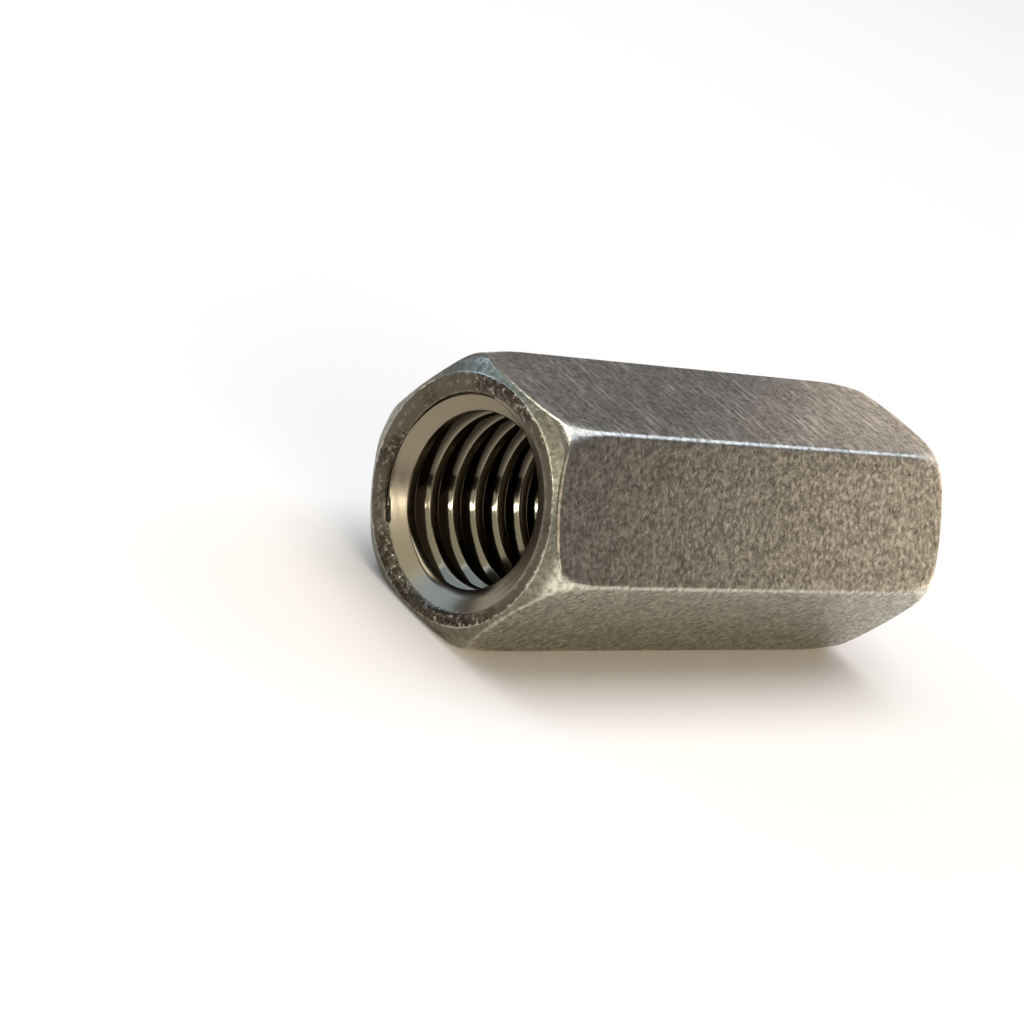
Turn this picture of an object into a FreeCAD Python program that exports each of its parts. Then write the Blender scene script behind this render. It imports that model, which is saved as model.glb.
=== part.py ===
"""Coupling nut: a long hexagon with one right-hand thread from end to end, made as one piece.

Lengths are in millimetres and angles in degrees. The hole's axis is X, the origin is the nut's middle,
and two of the six flats are level, so that the nut lies on the lower one.
"""
import FreeCAD, Part
import math
import os

# Thread, and the hexagon that goes with it
thread_diameter = 8.0
thread_pitch = 1.25
thread_angle = 60.0
across_flats = 1.25 * thread_diameter
length = 3.0 * thread_diameter

# Clear way between the thread's crests
crest_reach_in_pitches = 0.96
crest_diameter = thread_diameter - crest_reach_in_pitches * thread_pitch

# Width of the groove at the thread's diameter. Its flanks meet a little further out, in a sharp root
root_width = 0.125 * thread_pitch

# Countersink at each end, a little wider than the thread
countersink_clearance = 0.8
countersink_diameter = thread_diameter + countersink_clearance
countersink_angle = 120.0

# Ends: a narrow flat ring, then a chamfer that takes off the hexagon's six corners
end_ring_inset = 0.25
end_ring_diameter = across_flats - 2.0 * end_ring_inset
end_chamfer_angle = 30.0
corner_round = 1.3

# Long edges between neighbouring flats, worn round
long_edge_radius = 0.3

# How far the cutting forms reach past what they cut, and the round envelope past the corners
overshoot = 1.0
groove_overshoot = 0.15
corner_clearance = 0.02

sides = 6
spare_turns = 2
across_corners = across_flats / math.cos(math.pi / sides)
half_length = 0.5 * length
ORIGIN = FreeCAD.Vector(0, 0, 0)
AXIS_X = FreeCAD.Vector(1, 0, 0)
AXIS_Y = FreeCAD.Vector(0, 1, 0)


def runs_along_axis(edge):
    """Whether a straight edge is parallel with the hole's axis."""
    direction = edge.tangentAt(edge.FirstParameter)
    return direction.cross(AXIS_X).Length < 0.01


def hexagon_bar():
    """The hexagonal bar with square ends, its six long edges rounded."""
    corner_radius = 0.5 * across_corners
    corners = []
    for side in range(sides + 1):
        turn = 2.0 * math.pi * side / sides
        corner = FreeCAD.Vector(-half_length, corner_radius * math.cos(turn), corner_radius * math.sin(turn))
        corners.append(corner)
    bar = Part.Face(Part.makePolygon(corners)).extrude(AXIS_X * length)
    long_edges = [edge for edge in bar.Edges if runs_along_axis(edge)]
    return bar.makeFillet(long_edge_radius, long_edges)


def half_profile(direction):
    """The outline of one half's round envelope, a face between the axis and just outside the corners.

    The chamfer slopes away from the end ring and bends, with corner_round, until it runs along the axis.
    It meets the plane flats in curved arcs and fades into the rounded corners.
    """
    chamfer = math.radians(end_chamfer_angle)
    ring_radius = 0.5 * end_ring_diameter
    outer_radius = 0.5 * across_corners + corner_clearance
    bend_centre = outer_radius - corner_round
    bend_start_radius = bend_centre + corner_round * math.sin(chamfer)
    bend_start_depth = (bend_start_radius - ring_radius) * math.tan(chamfer)
    bend_end_depth = bend_start_depth + corner_round * math.cos(chamfer)
    bend_middle = 0.5 * (chamfer + 0.5 * math.pi)
    bend_middle_radius = bend_centre + corner_round * math.sin(bend_middle)
    bend_middle_depth = bend_end_depth - corner_round * math.cos(bend_middle)

    def point(depth, radius):
        """The point at this depth from the end face and this distance from the axis."""
        return FreeCAD.Vector(direction * (half_length - depth), 0, radius)

    bend = Part.Arc(
        point(bend_start_depth, bend_start_radius),
        point(bend_middle_depth, bend_middle_radius),
        point(bend_end_depth, outer_radius),
    ).toShape()
    outline = [
        Part.makeLine(point(half_length, 0), point(0, 0)),
        Part.makeLine(point(0, 0), point(0, ring_radius)),
        Part.makeLine(point(0, ring_radius), point(bend_start_depth, bend_start_radius)),
        bend,
        Part.makeLine(point(bend_end_depth, outer_radius), point(half_length, outer_radius)),
        Part.makeLine(point(half_length, outer_radius), point(half_length, 0)),
    ]
    return Part.Face(Part.Wire(outline))


def round_envelope():
    """The round form that holds the nut, chamfered at both ends."""
    near_half = half_profile(-1).revolve(ORIGIN, AXIS_X, 360)
    far_half = half_profile(1).revolve(ORIGIN, AXIS_X, 360)
    return near_half.fuse(far_half).removeSplitter()


def bore():
    """The hole between the crests, joined from quarters so that a crest is four short strips a turn."""
    start = FreeCAD.Vector(-half_length - overshoot, 0, 0)
    quarters = []
    for turn in (0, 90, 180, 270):
        quarter = Part.makeCylinder(0.5 * crest_diameter, length + 2.0 * overshoot, start, AXIS_X, 90)
        quarter.rotate(ORIGIN, AXIS_X, turn)
        quarters.append(quarter)
    return quarters[0].fuse(quarters[1:])


def countersink(direction):
    """The cone that is cut at one end, from outside the end face to inside the hole."""
    slope = math.tan(math.radians(0.5 * countersink_angle))
    outside_radius = 0.5 * countersink_diameter + overshoot * slope
    depth = 0.5 * (countersink_diameter - crest_diameter) / slope
    point_depth = depth + 0.5 * crest_diameter / slope
    start = AXIS_X * (direction * (half_length + overshoot))
    return Part.makeCone(outside_radius, 0.0, overshoot + point_depth, start, AXIS_X * -direction)


def helix(radius, place):
    """One right-hand turn at this radius, which starts straight below this place on the axis."""
    turn = Part.makeHelix(thread_pitch, thread_pitch, radius)
    turn.rotate(ORIGIN, AXIS_Y, 90)
    turn.translate(AXIS_X * place)
    return turn.Edges[0]


def groove_turn():
    """One turn of the thread's groove, a solid with two flanks that meet in the root."""
    flank_slope = math.tan(math.radians(0.5 * thread_angle))
    root_radius = 0.5 * thread_diameter + 0.5 * root_width / flank_slope
    inner_radius = 0.5 * crest_diameter - groove_overshoot
    half_width = (root_radius - inner_radius) * flank_slope
    near_rail = helix(inner_radius, -half_width)
    root_rail = helix(root_radius, 0)
    far_rail = helix(inner_radius, half_width)
    faces = [
        Part.makeRuledSurface(near_rail, root_rail),
        Part.makeRuledSurface(root_rail, far_rail),
        Part.makeRuledSurface(far_rail, near_rail),
    ]
    rails = (near_rail, root_rail, far_rail)
    starts = [rail.valueAt(rail.FirstParameter) for rail in rails]
    ends = [rail.valueAt(rail.LastParameter) for rail in rails]
    for corners in (starts, ends):
        faces.append(Part.Face(Part.makePolygon(corners + corners[:1])))
    shell = Part.makeShell(faces)
    shell.sewShape()
    turn = Part.makeSolid(shell)
    if turn.Volume < 0:
        turn.reverse()
    return turn


def groove_turns():
    """The whole groove as single turns, from before the near end to past the far end."""
    pattern = groove_turn()
    turns_in_length = math.ceil(length / thread_pitch)
    turns = []
    for number in range(-spare_turns, turns_in_length + spare_turns):
        turn = pattern.copy()
        turn.translate(AXIS_X * (number * thread_pitch - half_length))
        turns.append(turn)
    return turns


def coupling_nut():
    """The whole nut."""
    body = hexagon_bar().common(round_envelope())
    bored = body.cut([bore(), countersink(-1), countersink(1)])
    return bored.cut(groove_turns())


os.makedirs("parts", exist_ok=True)
coupling_nut().exportStep("parts/coupling_nut.step")
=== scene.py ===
"""Coupling nut of tumbled stainless steel, lying on one flat on a pale floor.

The nut's mesh is built row by row round the axis of its hole, which is X. Sizes are in millimetres
in the classes and become metres when a mesh, a lamp or the camera is made.
"""

import logging
import math
from dataclasses import dataclass, field
from enum import Enum

import bpy
import numpy as np
from mathutils import Matrix, Vector

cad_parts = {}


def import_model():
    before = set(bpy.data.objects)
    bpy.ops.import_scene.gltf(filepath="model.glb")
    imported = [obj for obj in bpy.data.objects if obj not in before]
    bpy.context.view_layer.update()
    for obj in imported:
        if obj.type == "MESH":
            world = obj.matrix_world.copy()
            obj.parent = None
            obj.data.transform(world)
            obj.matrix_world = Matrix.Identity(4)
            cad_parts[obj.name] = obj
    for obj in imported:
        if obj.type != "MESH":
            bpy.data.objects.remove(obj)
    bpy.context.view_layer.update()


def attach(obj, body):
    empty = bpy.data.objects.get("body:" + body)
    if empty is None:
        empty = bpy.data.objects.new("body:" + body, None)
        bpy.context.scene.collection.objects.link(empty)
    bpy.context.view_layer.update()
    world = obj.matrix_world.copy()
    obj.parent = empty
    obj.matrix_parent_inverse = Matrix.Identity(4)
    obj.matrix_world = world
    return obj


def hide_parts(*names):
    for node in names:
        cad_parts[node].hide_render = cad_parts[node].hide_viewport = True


MM = 0.001
FULL_TURN = 2.0 * math.pi
# A wave texture of scale 1 goes through this many radians in one unit of length
WAVE_RADIANS = 20.0
LOG = logging.getLogger("coupling_nut")

Tree = bpy.types.NodeTree
Socket = bpy.types.NodeSocket
Settings = dict[str, object]
Span = tuple[float, float]
MarkRow = tuple[str, str, Settings, dict[str | int, str]]

MASK = "ShaderNodeMapRange"
MATH = "ShaderNodeMath"
NOISE = "ShaderNodeTexNoise"
WHOLE: Span = (0.0, 1.0)


class End(Enum):
    """The two ends of the nut, by their side along the axis."""

    NEAR = -1.0
    FAR = 1.0


class Zone(Enum):
    """The differently finished parts of the nut's surface, by material slot."""

    TUMBLED = 0
    CUT = 1


def linear_colour(hex_code: str) -> tuple[float, float, float, float]:
    """Turns an sRGB hex colour to the linear colour that a shader takes.

    Args:
        hex_code: six hex digits, with or without a leading hash sign.

    Returns:
        Red, green, blue and an alpha of one.
    """
    digits = hex_code.lstrip("#")
    channels = []
    for start in (0, 2, 4):
        value = int(digits[start : start + 2], 16) / 255.0
        channels.append(value / 12.92 if value <= 0.04045 else ((value + 0.055) / 1.055) ** 2.4)
    return (channels[0], channels[1], channels[2], 1.0)


def add_node(
    tree: Tree,
    kind: str,
    settings: Settings | None = None,
    links: dict[str | int, Socket] | None = None,
    output: str | int = 0,
) -> Socket | None:
    """Adds one node, sets it and links its inputs.

    Args:
        tree: the node tree that gets the node.
        kind: the node's type name.
        settings: values by attribute name, or by input name or number after an "in:" prefix.
        links: the output socket that feeds each input, by the input's name or number.
        output: the name or number of the output that is wanted.

    Returns:
        That output, or None from a node without outputs.
    """
    node = tree.nodes.new(kind)
    for name, value in (settings or {}).items():
        if name.startswith("in:"):
            key = name[3:]
            node.inputs[int(key) if key.isdigit() else key].default_value = value
        else:
            setattr(node, name, value)
    for key, socket in (links or {}).items():
        tree.links.new(socket, node.inputs[key])
    return node.outputs[output] if node.outputs else None


def add_marks(tree: Tree, marks: dict[str, Socket], rows: tuple[MarkRow, ...]) -> None:
    """Adds a node for each row of a table, fed by marks that are there already.

    Args:
        tree: the node tree.
        marks: the patterns and masks by name, which get the new ones.
        rows: for each node its name as a mark, its kind, its settings and the marks that feed it.
    """
    for name, kind, settings, sources in rows:
        links = {key: marks[source] for key, source in sources.items()}
        marks[name] = add_node(tree, kind, settings, links)


def ranged(span: Span, least: float = 0.0, most: float = 1.0) -> Settings:
    """Settings for a mask that rises from least to most while its pattern goes over the span."""
    return {"in:From Min": span[0], "in:From Max": span[1], "in:To Min": least, "in:To Max": most}


def new_material(name: str) -> bpy.types.Material:
    """Makes an empty node material.

    Args:
        name: the material's name.

    Returns:
        The material, without any node.
    """
    material = bpy.data.materials.new(name)
    material.use_nodes = True
    material.node_tree.nodes.clear()
    return material


def base_marks(tree: Tree, painted: tuple[str, ...]) -> dict[str, Socket]:
    """Adds what a finish starts from.

    Args:
        tree: the node tree.
        painted: the names of the masks that the mesh brings along.

    Returns:
        Those masks, and the coordinates in millimetres as "space", so that pattern scales are real
        sizes.
    """
    place = add_node(tree, "ShaderNodeTexCoord", output="Object")
    settings = {"operation": "SCALE", "in:Scale": 1.0 / MM}
    marks = {"space": add_node(tree, "ShaderNodeVectorMath", settings, {0: place})}
    for name in painted:
        settings = {"attribute_name": name}
        marks[name] = add_node(tree, "ShaderNodeAttribute", settings, output="Fac")
    return marks


def layered_colour(tree: Tree, base: str, layers: tuple[tuple[str, Socket], ...]) -> Socket:
    """Lays colours over each other, each as far as its mask lets it show.

    Args:
        tree: the node tree.
        base: the lowest colour.
        layers: each layer's colour and mask, from the lowest to the highest.

    Returns:
        The colour of the whole.
    """
    settings: Settings = {"data_type": "RGBA", "in:6": linear_colour(base)}
    links: dict[str | int, Socket] = {}
    for shade, mask in layers:
        settings["in:7"] = linear_colour(shade)
        links[0] = mask
        links[6] = add_node(tree, "ShaderNodeMix", settings, links, 2)
    return links[6]


@dataclass(frozen=True)
class TumbledStainless:
    """Austenitic stainless steel bar, pickled and then tumbled with abrasive chips.

    The eye sees a warm grey satin with a crumbly grain like orange peel and small dark pits. Faint
    scratches run slantwise over the upper flat. The chamfers, which were turned first, are painted
    darker as shade, less on one side. The long edges are rubbed bright, and the ends' corners most
    on that side, as a painted highlight.
    """

    base: str = "#A5A293"
    blotch: str = "#928F81"
    hollow: str = "#716E61"
    raised: str = "#C8C4B4"
    # Painted shade: the chamfers' darker colour
    turned: str = "#66614F"
    scratched: str = "#DEDACC"
    pit: str = "#3A352E"
    rubbed_edge: str = "#F2ECD8"

    roughness: float = 0.33
    roughness_sway: float = 0.06
    rubbed_smoother: float = 0.09

    # The finest grain of such a surface is too fine to show in the render, so fine_mm draws it
    # about two and a half pixels wide
    crumb_mm: float = 0.22
    fine_mm: float = 0.10
    swell_mm: float = 0.8
    pit_mm: float = 0.5
    pit_thinning: float = 0.45
    scratch_width_mm: float = 0.22
    scratch_length_mm: float = 1.8
    scratch_cluster_mm: float = 0.9
    scratch_turn: float = 88.0

    # How far the marks stand out of the surface, and how deep the pits are
    swell_height_mm: float = 0.0162
    crumb_height_mm: float = 0.0198
    fine_height_mm: float = 0.0018
    scratch_height_mm: float = 0.0072
    pit_depth_mm: float = 0.0135

    # Values of a pattern at which its mark starts to show and shows wholly
    blotch_span: Span = (0.36, 0.64)
    hollow_span: Span = (0.50, 0.37)
    raised_span: Span = (0.52, 0.65)
    rubbed_span: Span = (0.38, 0.54)
    gloss_span: Span = (0.3, 0.7)
    pit_span: Span = (0.16, 0.07)
    chosen_span: Span = (0.55, 0.62)
    scratch_span: Span = (0.50, 0.63)
    cluster_span: Span = (0.42, 0.58)
    upward_span: Span = (0.85, 0.98)
    smoothed_span: Span = (0.0, 0.25)

    # How strong the marks are where they are strongest or faintest
    most_turned: float = 0.8
    most_pitted: float = 0.8
    most_scratched: float = 0.95
    least_clustered: float = 0.25
    least_rubbed: float = 0.4
    least_grain: float = 0.35

    def material(self) -> bpy.types.Material:
        """Builds the material of the six flats, their rounded edges and the chamfers.

        Returns:
            The node material.
        """
        material = new_material("tumbled_stainless_steel")
        tree = material.node_tree
        marks = base_marks(tree, ("edge_wear", "knocked"))
        facing = add_node(tree, "ShaderNodeTexCoord", output="Normal")
        marks["upward"] = add_node(tree, "ShaderNodeSeparateXYZ", {}, {0: facing}, "Z")
        add_marks(tree, marks, self.patterns())
        add_marks(tree, marks, self.masks())
        layers = (
            (self.blotch, marks["blotch"]),
            (self.hollow, marks["hollow"]),
            (self.raised, marks["raised"]),
            (self.turned, marks["turned"]),
            (self.scratched, marks["scratch"]),
            (self.pit, marks["pit"]),
            (self.rubbed_edge, marks["rubbed"]),
        )
        links = {
            "Base Color": layered_colour(tree, self.base, layers),
            "Roughness": marks["gloss"],
            "Normal": self.relief(tree, marks),
        }
        shader = add_node(tree, "ShaderNodeBsdfPrincipled", {"in:Metallic": 1.0}, links)
        add_node(tree, "ShaderNodeOutputMaterial", {}, {"Surface": shader})
        return material

    def patterns(self) -> tuple[MarkRow, ...]:
        """The table of the patterns that the marks come from.

        Returns:
            The rows, for add_marks.
        """
        crumbly = {"in:Detail": 4.0, "in:Roughness": 0.68, "in:Distortion": 0.3}
        scratchy = {"in:Detail": 3.0, "in:Roughness": 0.65, "in:Distortion": 0.25}
        slant = {"rotation_type": "Z_AXIS", "in:Angle": math.radians(self.scratch_turn)}
        stretch = (1.0 / self.scratch_length_mm, 1.0 / self.scratch_width_mm, 1.0)
        drawn_out = {"operation": "MULTIPLY", "in:1": stretch}
        space = {"Vector": "space"}
        noises = (
            ("crumb", self.crumb_mm, crumbly),
            ("fine", self.fine_mm, {"in:Detail": 1.0}),
            ("swell", self.swell_mm, {"in:Detail": 2.0}),
            ("choice", self.pit_mm / self.pit_thinning, {"in:Detail": 0.0}),
            ("clusters", self.scratch_cluster_mm, {"in:Detail": 2.0}),
        )
        return (
            *((name, NOISE, {"in:Scale": 1.0 / mm, **more}, space) for name, mm, more in noises),
            ("cells", "ShaderNodeTexVoronoi", {"in:Scale": 1.0 / self.pit_mm}, space),
            ("slanted", "ShaderNodeVectorRotate", slant, space),
            ("stretched", "ShaderNodeVectorMath", drawn_out, {0: "slanted"}),
            ("lines", NOISE, {"in:Scale": 1.0, **scratchy}, {"Vector": "stretched"}),
        )

    def masks(self) -> tuple[MarkRow, ...]:
        """The table of the marks' masks and of the roughness.

        Returns:
            The rows, for add_marks.
        """
        rough = (self.roughness + self.roughness_sway, self.roughness - self.roughness_sway)
        both = {"operation": "MULTIPLY"}
        smoother = {"operation": "MULTIPLY_ADD", "in:1": -self.rubbed_smoother}
        clustered = ranged(self.cluster_span, self.least_clustered)
        worn_down = ranged(self.smoothed_span, 1.0, self.least_grain)
        return (
            ("blotch", MASK, ranged(self.blotch_span), {"Value": "swell"}),
            ("hollow", MASK, ranged(self.hollow_span), {"Value": "crumb"}),
            ("raised", MASK, ranged(self.raised_span), {"Value": "crumb"}),
            # Painted shade on the chamfers, from the mesh's mask
            ("turned", MASK, ranged(WHOLE, 0.0, self.most_turned), {"Value": "knocked"}),
            ("pitted", MASK, ranged(self.pit_span), {"Value": "cells"}),
            ("chosen", MASK, ranged(self.chosen_span, 0.0, self.most_pitted), {"Value": "choice"}),
            ("pit", MATH, both, {0: "pitted", 1: "chosen"}),
            ("line", MASK, ranged(self.scratch_span, 0.0, self.most_scratched), {"Value": "lines"}),
            ("cluster", MASK, clustered, {"Value": "clusters"}),
            ("upper", MASK, ranged(self.upward_span), {"Value": "upward"}),
            ("broken_line", MATH, both, {0: "line", 1: "cluster"}),
            ("scratch", MATH, both, {0: "upper", 1: "broken_line"}),
            ("uneven", MASK, ranged(self.rubbed_span, self.least_rubbed), {"Value": "crumb"}),
            ("rubbed", MATH, both, {0: "edge_wear", 1: "uneven"}),
            ("grain_gloss", MASK, ranged(self.gloss_span, *rough), {"Value": "crumb"}),
            ("gloss", MATH, smoother, {0: "edge_wear", 2: "grain_gloss"}),
            ("grain", MASK, worn_down, {"Value": "edge_wear"}),
        )

    def relief(self, tree: Tree, marks: dict[str, Socket]) -> Socket:
        """Adds the grain's bumps, which are worn down on the rubbed edges, and the pits.

        Args:
            tree: the node tree.
            marks: the patterns and masks by name.

        Returns:
            The surface's normal.
        """
        links = {"Strength": marks["grain"]}
        for name, height in (
            ("swell", self.swell_height_mm),
            ("crumb", self.crumb_height_mm),
            ("fine", self.fine_height_mm),
            ("scratch", self.scratch_height_mm),
        ):
            links["Height"] = marks[name]
            links["Normal"] = add_node(tree, "ShaderNodeBump", {"in:Distance": height * MM}, links)
        settings = {"in:Strength": 1.0, "in:Distance": self.pit_depth_mm * MM, "invert": True}
        links = {"Height": marks["pit"], "Normal": links["Normal"]}
        return add_node(tree, "ShaderNodeBump", settings, links)


@dataclass(frozen=True)
class CutStainless:
    """The same steel where it was turned and tapped, then knocked about in the tumbler.

    The countersink's inner part is smooth and warm. The ring and rims round it carry bright nicks
    and dark specks side by side, on a darker tone that is partly painted shade. A film of oil dulls
    the thread, whose colour is a little darker as painted shade inside the hole. Deep in its groove
    and on the flanks of the upper half, a dark brown painted shade covers it.
    """

    smooth: str = "#877D6B"
    # Partly painted shade: the knocked ring's darker tone, with real nicks and specks on it
    knocked: str = "#585246"
    speck: str = "#3A332B"
    nick: str = "#E4DBC8"
    # Partly painted shade: the thread is a little darker than the countersink, as shade inside the
    # hole
    thread: str = "#787160"
    # Painted shade: dark brown deep in the thread's groove and up the flanks of the upper half
    stained: str = "#2E271E"
    rubbed_edge: str = "#EFE8D8"

    roughness: float = 0.24
    thread_roughness: float = 0.07
    oil_film: float = 0.25

    # Real turning lines are some hundredths of a millimetre apart, too fine to show in the
    # render, so streak_mm draws them about five pixels apart
    nick_mm: float = 0.17
    patch_mm: float = 2.2
    streak_mm: float = 0.1974
    nick_height_mm: float = 0.012
    streak_height_mm: float = 0.0012

    # Heights over the hole's axis between which the brown painted shade comes to reach up the
    # flanks
    upper_heights: Span = (-2.1, -1.4)
    upper_reach: float = 0.74

    # Values of a pattern at which its mark starts to show and shows wholly
    knock_span: Span = (0.35, 0.65)
    patch_span: Span = (0.46, 0.60)
    speck_span: Span = (0.56, 0.47)
    nick_span: Span = (0.64, 0.70)
    broken_span: Span = (0.50, 0.64)
    thread_span: Span = (0.02, 0.10)
    stain_span: Span = (0.76, 1.0)
    ragged: float = 1.2

    def material(self) -> bpy.types.Material:
        """Builds the material of the rings, the countersinks and the thread.

        Returns:
            The node material.
        """
        material = new_material("cut_stainless_steel")
        tree = material.node_tree
        marks = base_marks(tree, ("knocked", "groove_depth", "edge_wear"))
        marks["height"] = add_node(tree, "ShaderNodeSeparateXYZ", {}, {0: marks["space"]}, "Z")
        add_marks(tree, marks, self.patterns())
        add_marks(tree, marks, self.masks())
        layers = (
            (self.knocked, marks["knock"]),
            (self.speck, marks["specks"]),
            (self.nick, marks["bright_nicks"]),
            (self.thread, marks["on_thread"]),
            # The hole's painted shade
            (self.stained, marks["painted_hole_shade"]),
            (self.rubbed_edge, marks["rubbed"]),
        )
        links = {
            "Base Color": layered_colour(tree, self.smooth, layers),
            "Metallic": marks["bare"],
            "Roughness": marks["gloss"],
            "Normal": self.relief(tree, marks),
        }
        shader = add_node(tree, "ShaderNodeBsdfPrincipled", {}, links)
        add_node(tree, "ShaderNodeOutputMaterial", {}, {"Surface": shader})
        return material

    def patterns(self) -> tuple[MarkRow, ...]:
        """The table of the patterns that the marks come from.

        Returns:
            The rows, for add_marks.
        """
        nicked = {"in:Detail": 3.0, "in:Roughness": 0.65, "in:Distortion": 0.1}
        space = {"Vector": "space"}
        return (
            ("nicks", NOISE, {"in:Scale": 1.0 / self.nick_mm, **nicked}, space),
            ("patches", NOISE, {"in:Scale": 1.0 / self.patch_mm, "in:Detail": 1.0}, space),
        )

    def masks(self) -> tuple[MarkRow, ...]:
        """The table of the marks' masks, of the roughness and of the bare metal's share.

        Returns:
            The rows, for add_marks.
        """
        both = {"operation": "MULTIPLY"}
        swayed = {"operation": "MULTIPLY_ADD", "in:1": self.ragged, "in:2": -0.5 * self.ragged}
        summed = {"operation": "ADD", "use_clamp": True}
        rough = (self.roughness, self.thread_roughness)
        return (
            ("ragged", MATH, swayed, {0: "nicks"}),
            ("ragged_knock", MATH, summed, {0: "knocked", 1: "ragged"}),
            ("knock", MASK, ranged(self.knock_span), {"Value": "ragged_knock"}),
            ("patch", MASK, ranged(self.patch_span), {"Value": "patches"}),
            ("nicked", MATH, both, {0: "patch", 1: "knock"}),
            ("speck", MASK, ranged(self.speck_span), {"Value": "nicks"}),
            ("specks", MATH, both, {0: "speck", 1: "nicked"}),
            ("nick", MASK, ranged(self.nick_span), {"Value": "nicks"}),
            ("bright_nicks", MATH, both, {0: "nick", 1: "nicked"}),
            ("nick_height", MATH, both, {0: "nicks", 1: "nicked"}),
            ("on_thread", MASK, ranged(self.thread_span), {"Value": "groove_depth"}),
            # Painted shade: the hole's dark brown reaches up the flanks of the upper half and deep
            # into the groove
            ("upper", MASK, ranged(self.upper_heights, 0.0, self.upper_reach), {"Value": "height"}),
            ("reach", MATH, {"operation": "ADD"}, {0: "groove_depth", 1: "upper"}),
            ("thread_reach", MATH, both, {0: "reach", 1: "on_thread"}),
            ("painted_hole_shade", MASK, ranged(self.stain_span), {"Value": "thread_reach"}),
            ("broken", MASK, ranged(self.broken_span), {"Value": "nicks"}),
            ("rubbed", MATH, both, {0: "edge_wear", 1: "broken"}),
            ("gloss", MASK, ranged(WHOLE, *rough), {"Value": "on_thread"}),
            ("bare", MASK, ranged(WHOLE, 1.0, 1.0 - self.oil_film), {"Value": "on_thread"}),
        )

    def relief(self, tree: Tree, marks: dict[str, Socket]) -> Socket:
        """Adds the bumps of the nicks and of the turning lines.

        Args:
            tree: the node tree.
            marks: the patterns and masks by name.

        Returns:
            The surface's normal.
        """
        settings = {"bands_direction": "X", "in:Distortion": 2.5, "in:Detail": 2.0}
        settings["in:Scale"] = FULL_TURN / (WAVE_RADIANS * self.streak_mm)
        settings["in:Detail Scale"] = 0.8
        links = {"Vector": marks["space"]}
        streaks = add_node(tree, "ShaderNodeTexWave", settings, links, "Fac")
        links = {}
        for mark, height in (
            (marks["nick_height"], self.nick_height_mm),
            (streaks, self.streak_height_mm),
        ):
            links["Height"] = mark
            settings = {"in:Strength": 1.0, "in:Distance": height * MM}
            links["Normal"] = add_node(tree, "ShaderNodeBump", settings, links)
        return links["Normal"]


@dataclass(frozen=True)
class PaleLaminate:
    """White laminate board, hot-pressed: matt and all but even, so it reads as plain ground."""

    base: str = "#F8F8F7"
    roughness: float = 0.75

    def material(self) -> bpy.types.Material:
        """Builds the floor's material.

        Returns:
            The node material.
        """
        material = new_material("pale_laminate")
        tree = material.node_tree
        settings = {"in:Base Color": linear_colour(self.base), "in:Roughness": self.roughness}
        shader = add_node(tree, "ShaderNodeBsdfPrincipled", settings)
        add_node(tree, "ShaderNodeOutputMaterial", {}, {"Surface": shader})
        return material


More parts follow.
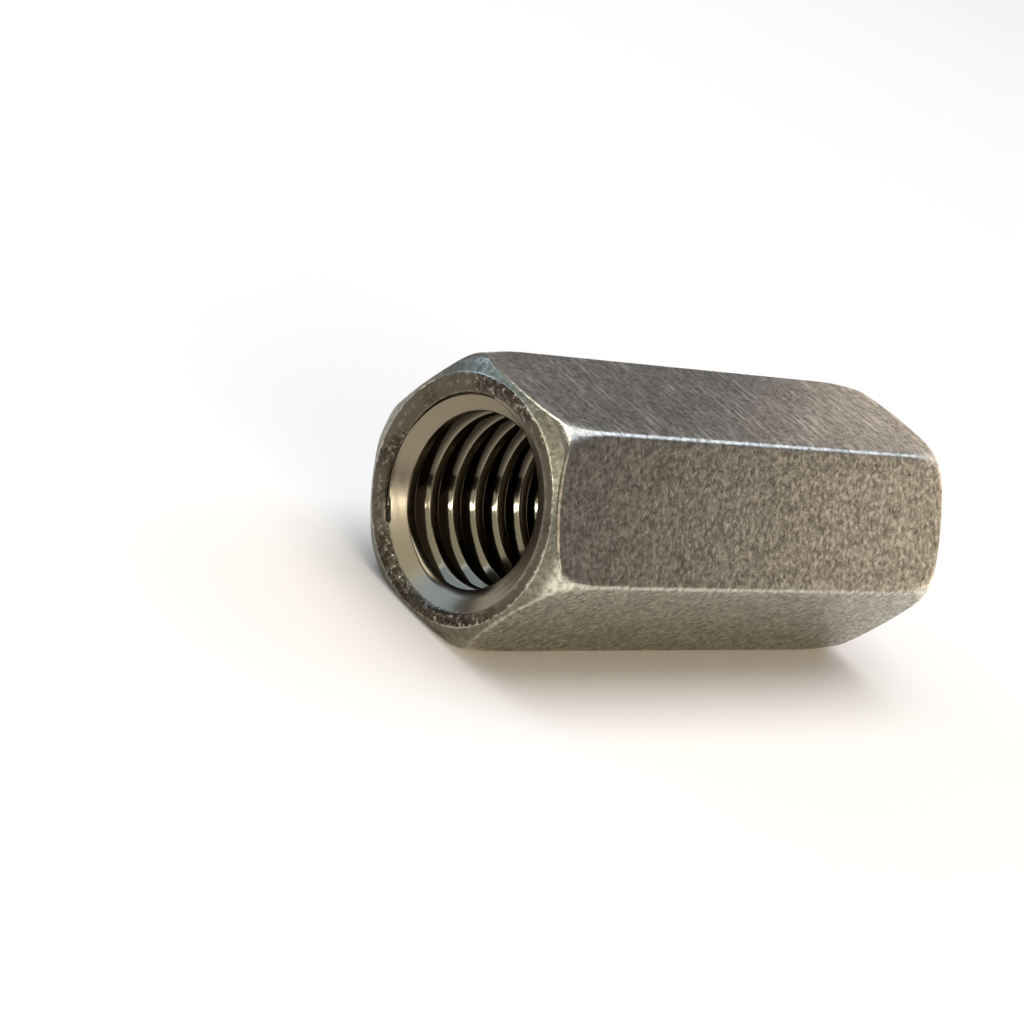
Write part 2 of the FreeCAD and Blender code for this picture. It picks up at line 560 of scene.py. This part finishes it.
@dataclass
class HexagonOutside:
    """The hexagon's flats, its rounded long edges, and the chamfer and flat ring at each end."""

    across_flats: float = 10.0
    length: float = 24.0
    sides: int = 6
    long_edge_radius: float = 0.3
    ring_radius: float = 4.75
    chamfer_degrees: float = 30.0
    corner_round: float = 1.3
    corner_clearance: float = 0.02

    # Wear: the softened arcs and ring edges, and the corners next to the chamfers
    arc_edge_radius: float = 0.22
    ring_edge_radius: float = 0.15
    worn_corner_radius: float = 1.3
    worn_corner_reach: float = 2.2

    # Mesh: each sector's columns, and where the rows lie in each part of the end
    columns_on_edge: int = 7
    columns_on_flat: int = 26
    ring_edge_shares: tuple[float, ...] = (0.0, 0.5, 1.0)
    chamfer_shares: tuple[float, ...] = (0.12, 0.25, 0.4, 0.55, 0.7, 0.85)
    arc_edge_shares: tuple[float, ...] = (0.0, 0.2, 0.4, 0.6, 0.8, 1.0)
    rows_past_chamfer: tuple[float, ...] = (0.15, 0.35, 0.6, 0.9, 1.3, 1.7, 2.2)

    def corner_radius(self) -> float:
        """The distance from the axis to the hexagon's sharp corners."""
        return 0.5 * self.across_flats / math.cos(math.pi / self.sides)

    def half_edge_angle(self, edge_radius: float) -> float:
        """The angle round the axis from a corner to where its rounding meets the flat."""
        flat_reach = (0.5 * self.across_flats - edge_radius) * math.tan(math.pi / self.sides)
        return math.pi / self.sides - math.atan2(flat_reach, 0.5 * self.across_flats)

    def columns(self) -> np.ndarray:
        """Spaces the mesh's columns round the axis, close together on each edge.

        Returns:
            The columns' angles, from a corner at +Y.
        """
        half_edge = self.half_edge_angle(self.long_edge_radius)
        sector = FULL_TURN / self.sides
        on_edge = np.linspace(-half_edge, half_edge, self.columns_on_edge, endpoint=False)
        on_flat = np.linspace(half_edge, sector - half_edge, self.columns_on_flat, endpoint=False)
        one_sector = np.concatenate([on_edge, on_flat])
        return np.concatenate([one_sector + sector * side for side in range(self.sides)])

    def edge_radius(self, past_chamfer: float) -> float:
        """The long edges' rounding, larger where the tumbler wore the corners by the chamfer."""
        worn = max(0.0, 1.0 - past_chamfer / self.worn_corner_reach) ** 2
        return self.long_edge_radius + (self.worn_corner_radius - self.long_edge_radius) * worn

    def section_radius(self, angles: np.ndarray, edge_radius: float) -> np.ndarray:
        """The hexagon's radius at each angle, with rounded long edges.

        Args:
            angles: angles round the axis, from a corner.
            edge_radius: the rounding of the long edges there.

        Returns:
            The distance from the axis to the surface.
        """
        sector = FULL_TURN / self.sides
        from_corner = np.abs((angles + 0.5 * sector) % sector - 0.5 * sector)
        flat = 0.5 * self.across_flats / np.cos(0.5 * sector - from_corner)
        centre = self.corner_radius() - edge_radius / math.cos(0.5 * sector)
        under_root = edge_radius**2 - (centre * np.sin(from_corner)) ** 2
        rounded = centre * np.cos(from_corner) + np.sqrt(np.clip(under_root, 0.0, None))
        on_corner = from_corner < self.half_edge_angle(edge_radius)
        return np.where(on_corner, np.minimum(flat, rounded), flat)

    def chamfer_depth(self, radius: np.ndarray) -> np.ndarray:
        """How far the chamfer lies behind the end face at each radius.

        Args:
            radius: distances from the axis, from the ring's edge out to the corners.

        Returns:
            The depth from the end face.
        """
        slope = math.radians(self.chamfer_degrees)
        outer = self.corner_radius() + self.corner_clearance
        centre = outer - self.corner_round
        bend_radius = centre + self.corner_round * math.sin(slope)
        bend_depth = (bend_radius - self.ring_radius) * math.tan(slope)
        along = np.clip((radius - centre) / self.corner_round, math.sin(slope), 1.0)
        bent = bend_depth + self.corner_round * (math.cos(slope) - np.sqrt(1.0 - along**2))
        straight = (radius - self.ring_radius) * math.tan(slope)
        return np.where(radius < bend_radius, straight, bent)

    def end_rows(self, angles: np.ndarray) -> list[tuple[np.ndarray, np.ndarray]]:
        """The rows from the end ring's outer edge over the chamfer to the start of the flats.

        Args:
            angles: the columns' angles.

        Returns:
            For each row, the depth behind the end face and the radius at every column.
        """
        rows = []
        soft = self.ring_edge_radius
        slope = math.radians(self.chamfer_degrees)
        for share in self.ring_edge_shares:
            turn = slope * share
            radius = self.ring_radius - soft * math.tan(0.5 * slope) + soft * math.sin(turn)
            depth = soft * (1.0 - math.cos(turn))
            rows.append((np.full_like(angles, depth), np.full_like(angles, radius)))
        start = rows[-1][1]
        section = self.section_radius(angles, self.edge_radius(0.0))
        meeting_depth = self.chamfer_depth(section)
        small = 1e-4
        rise = (meeting_depth - self.chamfer_depth(section - small)) / small
        chamfer_turn = 0.5 * math.pi - np.arctan(rise)
        reach = self.arc_edge_radius * np.tan(0.5 * chamfer_turn)
        fillet_start = section - reach * np.sin(chamfer_turn)
        for share in self.chamfer_shares:
            radius = start + (fillet_start - start) * share
            rows.append((self.chamfer_depth(radius), radius))
        centre_radius = section - self.arc_edge_radius
        centre_depth = meeting_depth + reach
        for share in self.arc_edge_shares:
            turn = chamfer_turn * (1.0 - share)
            radius = centre_radius + self.arc_edge_radius * np.cos(turn)
            depth = centre_depth - self.arc_edge_radius * np.sin(turn)
            rows.append((depth, radius))
        return rows


@dataclass
class ThreadedHole:
    """The countersunk hole with its right-hand thread, M8 x 1.25."""

    thread_diameter: float = 8.0
    crest_diameter: float = 6.8
    pitch: float = 1.25
    flank_degrees: float = 30.0
    root_share: float = 0.125
    first_crest: float = -11.0625
    countersink_diameter: float = 8.8
    countersink_degrees: float = 120.0

    # Tool marks: burred crests, a flattened root, and a soft line where the countersink begins
    burr: float = 0.012
    root_flat: float = 0.022
    blend: float = 0.045

    def root_radius(self) -> float:
        """The radius where the groove's two flanks meet."""
        slope = math.tan(math.radians(self.flank_degrees))
        return 0.5 * self.thread_diameter + 0.5 * self.root_share * self.pitch / slope

    def crest_half_width(self) -> float:
        """Half the width of the flat crest."""
        slope = math.tan(math.radians(self.flank_degrees))
        return 0.5 * self.pitch - (self.root_radius() - 0.5 * self.crest_diameter) * slope

    def profile(self) -> list[tuple[float, float]]:
        """One pitch of the thread's profile.

        Returns:
            The places along the pitch, from the middle of a crest, and the radius at each.
        """
        crest = 0.5 * self.crest_diameter
        root = self.root_radius()
        half_crest = self.crest_half_width()
        half_pitch = 0.5 * self.pitch
        rise = (root - crest) / (half_pitch - half_crest)
        side = [
            (half_crest - 0.07, crest),
            (half_crest - 0.03, crest - 0.7 * self.burr),
            (half_crest - 0.005, crest - self.burr),
        ]
        side += [(half_crest + past, crest + past * rise) for past in (0.02, 0.04)]
        side += [(half_pitch - before, root - before * rise) for before in (0.10, 0.05)]
        falling = [(self.pitch - place, radius) for place, radius in reversed(side)]
        return side + [(half_pitch, root - self.root_flat)] + falling

    def countersink_radius(self, depth: np.ndarray) -> np.ndarray:
        """The countersink's radius at a depth behind the end face."""
        slope = math.tan(math.radians(0.5 * self.countersink_degrees))
        return 0.5 * self.countersink_diameter - depth * slope

    def wall_radius(self, thread: np.ndarray, depth: np.ndarray) -> np.ndarray:
        """The hole's radius where the thread and the countersink both cut, blended softly.

        Args:
            thread: the thread's own radius.
            depth: the depth behind the nearer end face.

        Returns:
            The larger of the two radii, rounded where they cross.
        """
        cone = self.countersink_radius(depth)
        gap = np.abs(thread - cone)
        lift = np.clip(self.blend - gap, 0.0, None) ** 2 / (4.0 * self.blend)
        return np.maximum(thread, cone) + lift


@dataclass
class CouplingNut:
    """The whole nut: one closed mesh that stands for the CAD node."""

    outside: HexagonOutside = field(default_factory=HexagonOutside)
    hole: ThreadedHole = field(default_factory=ThreadedHole)
    node: str = "coupling_nut"
    material_slot: str = "stainless_steel"

    # Mesh: the spacing, numbers and places of its rows
    flat_row_spacing: float = 1.6
    first_cut_depth: float = 0.2
    ring_edge_rows: int = 2
    fillet_rows: int = 6
    ring_step: float = 0.04

    # The countersink's rounded outer rim, and the knocked part next to it, wider on the +Y side,
    # whose darker tone is partly painted shade
    rim_round: float = 0.5
    knocked_to_radius: float = 4.18
    knocked_sway: float = 0.16
    knocked_fade: float = 0.2

    # The thread's colour, its oil film and the painted shade in its groove start this deep behind
    # the end face, and are whole at twice that depth
    clean_depth: float = 0.9

    # How much each edge is rubbed, as a share, and the depth of rounding that counts as such
    rim_wear: float = 0.12
    ring_edge_wear: float = 0.6
    arc_wear: float = 0.45
    least_edge_wear: float = 0.1
    worn_edge_depth: float = 0.02
    full_wear_depth: float = 0.14

    # The corners of the ends, rubbed outside this radius, and brightest on the side of this angle
    # as a painted highlight, where the chamfers' painted shade is weaker too
    corner_wear_start: float = 5.15
    corner_wear_reach: float = 0.3
    most_worn_degrees: float = 130.0
    worn_chamfer_gain: float = 0.25

    def __post_init__(self) -> None:
        """Starts the empty lists of the mesh."""
        self.angles: np.ndarray = self.outside.columns()
        self.points: list[tuple[float, float, float]] = []
        self.faces: list[tuple[int, ...]] = []
        self.zones: list[int] = []
        self.masks: dict[str, list[float]] = {"edge_wear": [], "groove_depth": [], "knocked": []}

    def add_point(
        self, column: int, place: float, radius: float, wear: float, depth: float, knocked: float
    ) -> int:
        """Adds one point of the mesh.

        Args:
            column: the number of the point's column.
            place: its place along the axis.
            radius: its distance from the axis.
            wear: how much an edge is rubbed there, from 0 to 1.
            depth: how deep in the thread's groove it is, from 0 to 1.
            knocked: from 0 to 1, in the hole how much the tumbler nicked it, and on the
                outside the chamfers' painted shade.

        Returns:
            The point's number.
        """
        angle = self.angles[column]
        across = (radius * math.cos(angle) * MM, radius * math.sin(angle) * MM)
        self.points.append((place * MM, *across))
        for name, value in (("edge_wear", wear), ("groove_depth", depth), ("knocked", knocked)):
            self.masks[name].append(value)
        return len(self.points) - 1

    def add_row(
        self, place: np.ndarray, radius: np.ndarray, wear: np.ndarray, knocked: np.ndarray
    ) -> list[int]:
        """Adds a closed row of points round the axis.

        Args:
            place: the places along the axis, one for each column.
            radius: the distances from the axis.
            wear: how much each column is rubbed.
            knocked: for each column, how much the tumbler nicked it, and on the chamfers
                their painted shade.

        Returns:
            The points' numbers.
        """
        row = []
        for column, values in enumerate(zip(place, radius, wear, knocked)):
            along, away, rubbed, nicked = map(float, values)
            row.append(self.add_point(column, along, away, rubbed, 0.0, nicked))
        return row

    def add_face(self, corners: list[int], zone: Zone) -> None:
        """Adds a face, without its repeated corners, unless too few are left.

        Args:
            corners: the points' numbers.
            zone: the finish of the face.
        """
        kept = [corner for place, corner in enumerate(corners) if corner != corners[place - 1]]
        if len(set(kept)) >= 3 and len(set(kept)) == len(kept):
            self.faces.append(tuple(kept))
            self.zones.append(zone.value)

    def bridge(self, first: list[int], second: list[int], zone: Zone) -> None:
        """Joins two closed rows with faces that look away from the steel.

        Args:
            first: the row that comes first on the way over the outside to the far end.
            second: the next row on that way.
            zone: the finish of the faces.
        """
        count = len(self.angles)
        for column in range(count):
            after = (column + 1) % count
            self.add_face([first[column], second[column], second[after], first[after]], zone)

    def build_outside(self) -> tuple[list[int], list[int]]:
        """Builds the chamfers and flats.

        Returns:
            The rows at the outer edges of the near and the far end ring.
        """
        outside = self.outside
        half = 0.5 * outside.length
        end_rows = outside.end_rows(self.angles)
        rows = []
        for number, (depth, radius) in enumerate(end_rows):
            rows.append((depth - half, radius, self.row_wear(number, len(end_rows), radius)))
        flat_start = end_rows[-1][0]
        for past in outside.rows_past_chamfer:
            section = outside.section_radius(self.angles, outside.edge_radius(past))
            rows.append((flat_start + past - half, section, self.edge_wear(section)))
        near_part = len(rows)
        section = outside.section_radius(self.angles, outside.long_edge_radius)
        inner = flat_start + outside.worn_corner_reach - half
        steps = max(2, round(-2.0 * float(inner.mean()) / self.flat_row_spacing))
        for step in range(1, steps):
            rows.append((inner * (1.0 - 2.0 * step / steps), section, self.edge_wear(section)))
        rows += [(-place, radius, wear) for place, radius, wear in reversed(rows[:near_part])]

        chamfer_rows = len(end_rows) - self.fillet_rows
        added = []
        for number, row in enumerate(rows):
            # Painted shade on the chamfers, fading over the fillet rows and weaker on the highlight
            # side
            inward = min(number, len(rows) - 1 - number) - chamfer_rows
            turned = min(1.0, max(0.0, 1.0 - inward / self.fillet_rows))
            dulled = turned * (1.0 - self.worn_chamfer_gain * self.worn_side())
            added.append(self.add_row(*row, dulled))
        for number, (first, second) in enumerate(zip(added[:-1], added[1:])):
            from_end = min(number, len(added) - 2 - number)
            zone = Zone.CUT if from_end < self.ring_edge_rows else Zone.TUMBLED
            self.bridge(first, second, zone)
        return added[0], added[-1]

    def knocked_share(self, radius: np.ndarray) -> np.ndarray:
        """How much the countersink is knocked at a radius in each column."""
        limit = self.knocked_to_radius - self.knocked_sway * np.cos(self.angles)
        return np.clip(0.5 + (radius - limit) / self.knocked_fade, 0.0, 1.0)

    def edge_wear(self, section: np.ndarray) -> np.ndarray:
        """How much each column is rubbed: on the rounded long edges, and not at all on the flats.

        Args:
            section: the hexagon's radius at each column.

        Returns:
            The wear at each column.
        """
        rounding = self.outside.section_radius(self.angles, 0.0) - section
        on_edge = np.clip(rounding / self.worn_edge_depth, 0.0, 1.0)
        worn = np.clip(rounding / self.full_wear_depth, 0.0, 1.0)
        return on_edge * (self.least_edge_wear + (1.0 - self.least_edge_wear) * worn)

    def row_wear(self, number: int, count: int, radius: np.ndarray) -> np.ndarray:
        """How much the chamfer and the arcs at the ends of the flats are rubbed.

        Args:
            number: the row's number from the ring outwards.
            count: the number of end rows.
            radius: the row's distances from the axis.

        Returns:
            The wear at each column.
        """
        from_middle = abs(number - (count - 0.5 * (self.fillet_rows + 1)))
        arc = max(0.0, self.arc_wear - from_middle / self.fillet_rows)
        ring_edge = self.ring_edge_wear if 0 < number <= self.ring_edge_rows else 0.0
        corner = np.clip((radius - self.corner_wear_start) / self.corner_wear_reach, 0.0, 1.0)
        # On the highlight side the rubbed corners are a painted highlight
        return np.maximum(max(arc, ring_edge), corner * self.worn_side())

    def worn_side(self) -> np.ndarray:
        """How much of the corners' wear each column has, most on the side of the painted highlight.
        """
        return 0.5 + 0.5 * np.cos(self.angles - math.radians(self.most_worn_degrees))

    def build_rings(self, outer: list[int], end: End) -> list[int]:
        """Builds one end's flat ring and the outer part of its countersink.

        Args:
            outer: the row at the ring's outer edge.
            end: which end it is.

        Returns:
            The row in the countersink where the thread's rows start.
        """
        half = 0.5 * self.outside.length
        soft = self.rim_round
        tilt = math.radians(90.0 - 0.5 * self.hole.countersink_degrees)
        rim = 0.5 * self.hole.countersink_diameter + soft * math.tan(0.5 * tilt)
        outline = [(0.0, rim + self.ring_step)]
        for share in (0.0, 0.33, 0.67, 1.0):
            turn = tilt * share
            outline.append((soft * (1.0 - math.cos(turn)), rim - soft * math.sin(turn)))
        for depth in (0.6 * self.first_cut_depth, self.first_cut_depth):
            outline.append((depth, float(self.hole.countersink_radius(depth))))
        rows = [outer]
        count = len(self.angles)
        rim_depth = soft * (1.0 - math.cos(tilt))
        for depth, radius in outline:
            place = np.full(count, end.value * (half - depth))
            rubbed = self.rim_wear if 0.0 < depth < 0.9 * rim_depth else 0.0
            around = np.full(count, radius)
            knocked = self.knocked_share(around)
            rows.append(self.add_row(place, around, np.full(count, rubbed), knocked))
        for first, second in zip(rows[:-1], rows[1:]):
            if end is End.NEAR:
                first, second = second, first
            self.bridge(first, second, Zone.CUT)
        return rows[-1]

    def add_wall_point(self, column: int, place: float, thread_radius: float) -> int:
        """Adds one point of the hole's wall.

        Args:
            column: the number of the point's column.
            place: its place along the axis.
            thread_radius: the thread's own radius there.

        Returns:
            The point's number.
        """
        crest = 0.5 * self.hole.crest_diameter
        depth = 0.5 * self.outside.length - abs(place)
        radius = float(self.hole.wall_radius(thread_radius, depth))
        cone = float(self.hole.countersink_radius(depth))
        groove_share = 0.0
        if cone <= thread_radius:
            groove_share = (radius - crest) / (self.hole.root_radius() - crest)
        groove_share = min(1.0, max(0.0, groove_share))
        groove_share *= min(1.0, max(0.0, depth / self.clean_depth - 1.0))
        knocked = float(self.knocked_share(cone)[column])
        return self.add_point(column, place, radius, 0.0, groove_share, knocked)

    def build_hole(self, near_row: list[int], far_row: list[int]) -> None:
        """Builds the threaded wall between the two countersinks, its rows along the helix.

        Args:
            near_row: the row in the near countersink where the thread's rows start.
            far_row: the same at the far end.
        """
        half = 0.5 * self.outside.length
        limit = half - self.first_cut_depth
        profile = self.hole.profile()
        count = len(self.angles)
        pitch = self.hole.pitch
        shift = pitch * self.angles / FULL_TURN
        spare_turns = 2
        first_turn = math.floor((-half - self.hole.first_crest) / pitch) - spare_turns
        last_turn = math.ceil((half - self.hole.first_crest) / pitch) + spare_turns
        helix: list[list[int]] = []
        for turn in range(first_turn, last_turn):
            for place_in_pitch, thread_radius in profile:
                places = self.hole.first_crest + turn * pitch + place_in_pitch + shift
                row = []
                for column in range(count):
                    place = float(places[column])
                    if place <= -limit:
                        row.append(near_row[column])
                    elif place >= limit:
                        row.append(far_row[column])
                    else:
                        row.append(self.add_wall_point(column, place, thread_radius))
                helix.append(row)
        # After a whole turn a row goes on as the row that is one pitch further in
        for number in range(len(helix) - 1):
            for column in range(count):
                after = (column + 1) % count
                lead = 0 if after else len(profile)
                upper = number + 1 + lead
                if upper >= len(helix):
                    continue
                corners = [
                    helix[number][column],
                    helix[number + lead][after],
                    helix[upper][after],
                    helix[number + 1][column],
                ]
                self.add_face(corners, Zone.CUT)

    def mesh_object(self) -> bpy.types.Object:
        """Makes the Blender object from the points and faces.

        Returns:
            The nut's object, smooth and with its masks.
        """
        mesh = bpy.data.meshes.new(self.node)
        mesh.from_pydata(self.points, [], self.faces)
        mesh.validate()
        mesh.polygons.foreach_set("use_smooth", [True] * len(mesh.polygons))
        mesh.polygons.foreach_set("material_index", self.zones)
        for name, values in self.masks.items():
            mesh.attributes.new(name, "FLOAT", "POINT").data.foreach_set("value", values)
        mesh.update()
        nut = bpy.data.objects.new("nut_body", mesh)
        bpy.context.scene.collection.objects.link(nut)
        return nut

    def build(self) -> bpy.types.Object:
        """Builds, dresses and registers the nut.

        Returns:
            The nut's object.
        """
        near_ring, far_ring = self.build_outside()
        near_row = self.build_rings(near_ring, End.NEAR)
        far_row = self.build_rings(far_ring, End.FAR)
        self.build_hole(near_row, far_row)
        nut = self.mesh_object()
        for finish in (TumbledStainless(), CutStainless()):
            nut.data.materials.append(finish.material())
        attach(nut, "root")
        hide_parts(self.node)
        return nut


@dataclass
class Floor:
    """The pale board that the nut lies on."""

    radius: float = 3000.0
    height: float = -5.0
    segments: int = 96
    finish: PaleLaminate = field(default_factory=PaleLaminate)

    def build(self) -> bpy.types.Object:
        """Builds the round floor.

        Returns:
            The floor's object.
        """
        points = [(0.0, 0.0, self.height * MM)]
        for step in range(self.segments):
            angle = FULL_TURN * step / self.segments
            across = (self.radius * math.cos(angle) * MM, self.radius * math.sin(angle) * MM)
            points.append((*across, self.height * MM))
        faces = [(0, step + 1, (step + 1) % self.segments + 1) for step in range(self.segments)]
        mesh = bpy.data.meshes.new("floor")
        mesh.from_pydata(points, [], faces)
        mesh.materials.append(self.finish.material())
        floor = bpy.data.objects.new("floor", mesh)
        bpy.context.scene.collection.objects.link(floor)
        return floor


@dataclass(frozen=True)
class SoftPanel:
    """One soft light of the studio, aimed at the nut from an azimuth and elevation in degrees.

    One that doesn't light the floor shows in the steel only; one that doesn't shine has no
    reflection.
    """

    name: str
    azimuth: float
    elevation: float
    distance: float
    width: float
    height: float
    brightness: float
    colour: str
    lights_floor: bool = True
    shines: bool = True

    def build(self) -> bpy.types.Object:
        """Builds the light, with the power that gives its face this brightness.

        Returns:
            The light's object.
        """
        light = bpy.data.lights.new(self.name, "AREA")
        light.shape = "RECTANGLE"
        light.size = self.width * MM
        light.size_y = self.height * MM
        light.energy = math.pi * light.size * light.size_y * self.brightness
        light.color = linear_colour(self.colour)[:3]
        panel = bpy.data.objects.new(self.name, light)
        turn = math.radians(self.azimuth)
        rise = math.radians(self.elevation)
        level = math.cos(rise)
        away = Vector((level * math.cos(turn), level * math.sin(turn), math.sin(rise)))
        panel.location = away * self.distance * MM
        panel.rotation_euler = away.to_track_quat("Z", "Y").to_euler()
        panel.visible_camera = False
        panel.visible_diffuse = self.lights_floor
        panel.visible_glossy = self.shines
        bpy.context.scene.collection.objects.link(panel)
        return panel


@dataclass(frozen=True)
class Studio:
    """The soft light round the nut.

    Large panels give the flats their slow change of tone, cool from behind and warm from the front.
    The warm card close behind the far end lights up the ends of the flats, and the small lamp in
    front of the open end puts a glint on each turn of the thread.
    """

    surround_near: str = "#454442"
    surround_far: str = "#605F66"
    surround_span: Span = (-0.5, 0.7)
    panels: tuple[SoftPanel, ...] = (
        SoftPanel("key", 0.0, 43.0, 420.0, 280.0, 170.0, 2.4, "#D6E4FF"),
        SoftPanel("overhead", 80.0, 83.0, 420.0, 430.0, 430.0, 2.85, "#FFFCF8"),
        SoftPanel("warm_card", -4.0, 10.0, 44.0, 63.0, 24.0, 1.2, "#FFEBDA", False),
        SoftPanel("back_fill", 60.0, 20.0, 420.0, 340.0, 220.0, 0.20, "#EDE6FA"),
        SoftPanel("cool_back", 124.0, 22.0, 420.0, 330.0, 190.0, 1.9, "#BED8FA"),
        SoftPanel("left_fill", 170.0, 17.0, 420.0, 350.0, 300.0, 1.35, "#F4F2E4"),
        SoftPanel("front_fill", 262.0, 24.0, 420.0, 420.0, 250.0, 1.1, "#FFF0DC"),
        SoftPanel("floor_fill", 262.0, 24.0, 420.0, 420.0, 250.0, 3.0, "#FFE0B4", True, False),
        SoftPanel("small_lamp", 190.5, 15.6, 420.0, 66.0, 20.0, 30.0, "#FFFCF6", False),
    )

    def build(self) -> None:
        """Builds the surround, darker in front of the open end, and the lights."""
        world = bpy.data.worlds.new("studio")
        bpy.context.scene.world = world
        world.use_nodes = True
        tree = world.node_tree
        tree.nodes.clear()
        direction = add_node(tree, "ShaderNodeTexCoord", output="Generated")
        along = add_node(tree, "ShaderNodeSeparateXYZ", {}, {0: direction}, "X")
        share = add_node(tree, MASK, ranged(self.surround_span), {"Value": along})
        colour = layered_colour(tree, self.surround_near, ((self.surround_far, share),))
        background = add_node(tree, "ShaderNodeBackground", {"in:Strength": 1.0}, {"Color": colour})
        add_node(tree, "ShaderNodeOutputWorld", {}, {"Surface": background})
        bpy.context.scene.view_settings.view_transform = "Standard"
        for panel in self.panels:
            panel.build()


@dataclass(frozen=True)
class PhotoCamera:
    """The camera, at the photograph's angle to the nut."""

    place: tuple[float, float, float] = (-92.016, -67.173, 42.171)
    right: tuple[float, float, float] = (0.69065, -0.586398, 0.423249)
    up: tuple[float, float, float] = (-0.029835, 0.561652, 0.826835)
    lens: float = 105.56
    film: float = 36.0

    def build(self) -> bpy.types.Object:
        """Builds the camera and makes it the scene's own.

        Returns:
            The camera's object.
        """
        data = bpy.data.cameras.new("photo_camera")
        data.lens = self.lens
        data.sensor_width = self.film
        data.sensor_fit = "HORIZONTAL"
        data.clip_start = MM
        data.clip_end = 20.0
        camera = bpy.data.objects.new("photo_camera", data)
        right = Vector(self.right).normalized()
        back = right.cross(Vector(self.up)).normalized()
        up = back.cross(right)
        turn = Matrix((right, up, back)).transposed().to_4x4()
        camera.matrix_world = Matrix.Translation(Vector(self.place) * MM) @ turn
        bpy.context.scene.collection.objects.link(camera)
        bpy.context.scene.camera = camera
        return camera


def main() -> None:
    """Builds the nut, the floor, the lights and the camera."""
    logging.basicConfig(level=logging.INFO, format="%(name)s: %(message)s")
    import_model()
    nut = CouplingNut().build()
    triangles = sum(len(face.vertices) - 2 for face in nut.data.polygons)
    LOG.info("nut: %d points, %d triangles", len(nut.data.vertices), triangles)
    floor = Floor().build()
    LOG.info("floor: %s", floor.name)
    studio = Studio()
    studio.build()
    LOG.info("studio lights: %d", len(studio.panels))
    camera = PhotoCamera().build()
    LOG.info("camera: %s", camera.name)


if __name__ == "__main__":
    main()
